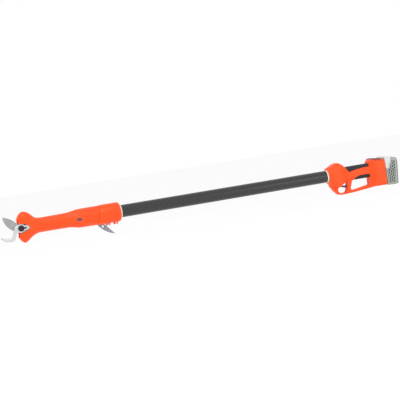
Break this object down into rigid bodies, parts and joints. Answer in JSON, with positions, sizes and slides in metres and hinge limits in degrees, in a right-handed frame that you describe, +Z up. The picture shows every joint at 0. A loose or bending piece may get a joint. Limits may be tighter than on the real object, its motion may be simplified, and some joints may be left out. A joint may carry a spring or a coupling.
{
  "type": "cordless pole pruner",
  "caption": "Long-reach battery pruner: hooked bypass blades and motor in a flared head, straight carbon pole, branch hook, rear handle with trigger and slide-on battery.",
  "frame": {"origin": "middle of the rear grip, on the pole axis", "axes": "+X along the pole from the blades to the battery, +Y to the user's right, +Z up (trigger underneath)"},
  "size_m": [1.4134, 0.076, 0.1244],
  "materials": {
    "orange_shell": "moulded, satin",
    "blade_steel": "ground",
    "hook_steel": "bright plated",
    "dark_steel": "black oxide",
    "gear_steel": "hobbed",
    "bronze": "turned",
    "cast_aluminium": "die-cast",
    "motor_steel": "zinc and paint",
    "copper": "bare copper",
    "magnet": "ground",
    "zinc_screw": "zinc plated",
    "grey_hook_plate": "satin grey",
    "carbon_tube": "clear-coated carbon-fibre twill",
    "pale_ring": "moulded",
    "cable_jacket": "matt",
    "black_plastic": "fine grain",
    "grip_rubber": "soft, fine texture",
    "spring_steel": "drawn wire",
    "circuit_board": "solder mask",
    "component_black": "moulded",
    "battery_grey": "fine grain",
    "battery_light": "fine grain",
    "cell_wrap": "shrink wrap"
  },
  "bodies": {
    "frame": {"hook_blade": "hook_steel", "pivot_bolt": "dark_steel", "pivot_nut": "dark_steel", "nut_lock_screw": "dark_steel", "gear_head": "cast_aluminium", "shaft_bearings": "gear_steel", "hook_blade_screws": "zinc_screw", "drive_tube": "cast_aluminium", "gearbox_case": "cast_aluminium", "ring_gear": "gear_steel", "motor_can": "motor_steel", "motor_stator": "motor_steel", "stator_windings": "copper", "motor_end_cap": "motor_steel", "motor_cradle": "cast_aluminium", "head_shell_left": "orange_shell", "head_shell_right": "orange_shell", "shell_screws": "zinc_screw", "pole_socket": "cast_aluminium", "pole_collar": "orange_shell", "collar_screws": "zinc_screw", "branch_hook": "grey_hook_plate", "pole_rings": "pale_ring", "pole_tube": "carbon_tube", "power_cable": "cable_jacket", "cable_guides": "black_plastic", "handle_shell_left": "orange_shell", "handle_shell_right": "orange_shell", "grip_pad_top": "grip_rubber", "grip_pad_bottom": "grip_rubber", "rear_pole_clamp": "cast_aluminium", "trigger_pin": "zinc_screw", "trigger_switch": "black_plastic", "trigger_spring": "spring_steel", "control_board": "circuit_board", "board_components": "component_black", "terminal_block": "black_plastic", "terminal_blades": "copper"},
    "blade": {"cutting_blade": "blade_steel", "blade_gear": "gear_steel", "blade_bush": "bronze"},
    "drive_shaft": {"pinion_shaft": "gear_steel", "planet_carrier": "gear_steel", "planet_pins": "gear_steel"},
    "planet_1": {"planet_gear_1": "gear_steel"},
    "planet_2": {"planet_gear_2": "gear_steel"},
    "planet_3": {"planet_gear_3": "gear_steel"},
    "rotor": {"motor_shaft": "gear_steel", "rotor_magnets": "magnet", "sun_gear": "gear_steel"},
    "trigger_lever": {"trigger": "black_plastic"},
    "plunger": {"switch_plunger": "black_plastic"},
    "battery": {"battery_case": "battery_grey", "battery_cover": "battery_light", "battery_rear_cap": "black_plastic", "battery_cells": "cell_wrap", "battery_board": "circuit_board", "battery_contacts": "copper", "latch_spring": "spring_steel"},
    "latch": {"battery_latch": "black_plastic"}
  },
  "joints": [
    {"name": "blade_pivot", "type": "hinge", "parent": "frame", "child": "blade", "pos_m": [-1.205, -0.012, 0], "axis": [0, -1, 0], "range_deg": [0, 60]},
    {"name": "pinion_spin", "type": "hinge", "parent": "frame", "child": "drive_shaft", "pos_m": [-1.12, 0, 0], "axis": [-1, 0, 0], "range_deg": [-1, 241]},
    {"name": "rotor_spin", "type": "hinge", "parent": "frame", "child": "rotor", "pos_m": [-1.01, 0, 0], "axis": [-1, 0, 0], "range_deg": [-1, 1201]},
    {"name": "planet_spin_1", "type": "hinge", "parent": "drive_shaft", "child": "planet_1", "pos_m": [-1.0575, 0.009, 0], "axis": [-1, 0, 0], "range_deg": [-641, 1]},
    {"name": "planet_spin_2", "type": "hinge", "parent": "drive_shaft", "child": "planet_2", "pos_m": [-1.0575, -0.0045, 0.00779], "axis": [-1, 0, 0], "range_deg": [-641, 1]},
    {"name": "planet_spin_3", "type": "hinge", "parent": "drive_shaft", "child": "planet_3", "pos_m": [-1.0575, -0.0045, -0.00779], "axis": [-1, 0, 0], "range_deg": [-641, 1]},
    {"name": "trigger_pull", "type": "hinge", "parent": "frame", "child": "trigger_lever", "pos_m": [-0.084, 0, -0.039], "axis": [0, -1, 0], "range_deg": [0, 18], "stiffness_Nm_per_rad": 0.2, "springref_deg": -14.32, "deforming": ["trigger_spring"]},
    {"name": "plunger_press", "type": "slide", "parent": "frame", "child": "plunger", "axis": [-1, 0, 0], "range_m": [0, 0.0021]},
    {"name": "battery_slide", "type": "slide", "parent": "frame", "child": "battery", "axis": [1, 0, 0], "range_m": [0, 0.09]},
    {"name": "latch_press", "type": "slide", "parent": "battery", "child": "latch", "axis": [0, 0, -1], "range_m": [0, 0.003], "stiffness_N_per_m": 600, "springref_m": -0.003, "deforming": ["latch_spring"]}
  ],
  "couplings": [
    {"joint": "pinion_spin", "follows": "blade_pivot", "ratio": 4},
    {"joint": "rotor_spin", "follows": "blade_pivot", "ratio": 20},
    {"joint": "planet_spin_1", "follows": "blade_pivot", "ratio": -10.667},
    {"joint": "planet_spin_2", "follows": "blade_pivot", "ratio": -10.667},
    {"joint": "planet_spin_3", "follows": "blade_pivot", "ratio": -10.667},
    {"joint": "plunger_press", "follows": "trigger_pull", "m_per_rad": 0.0065}
  ]
}
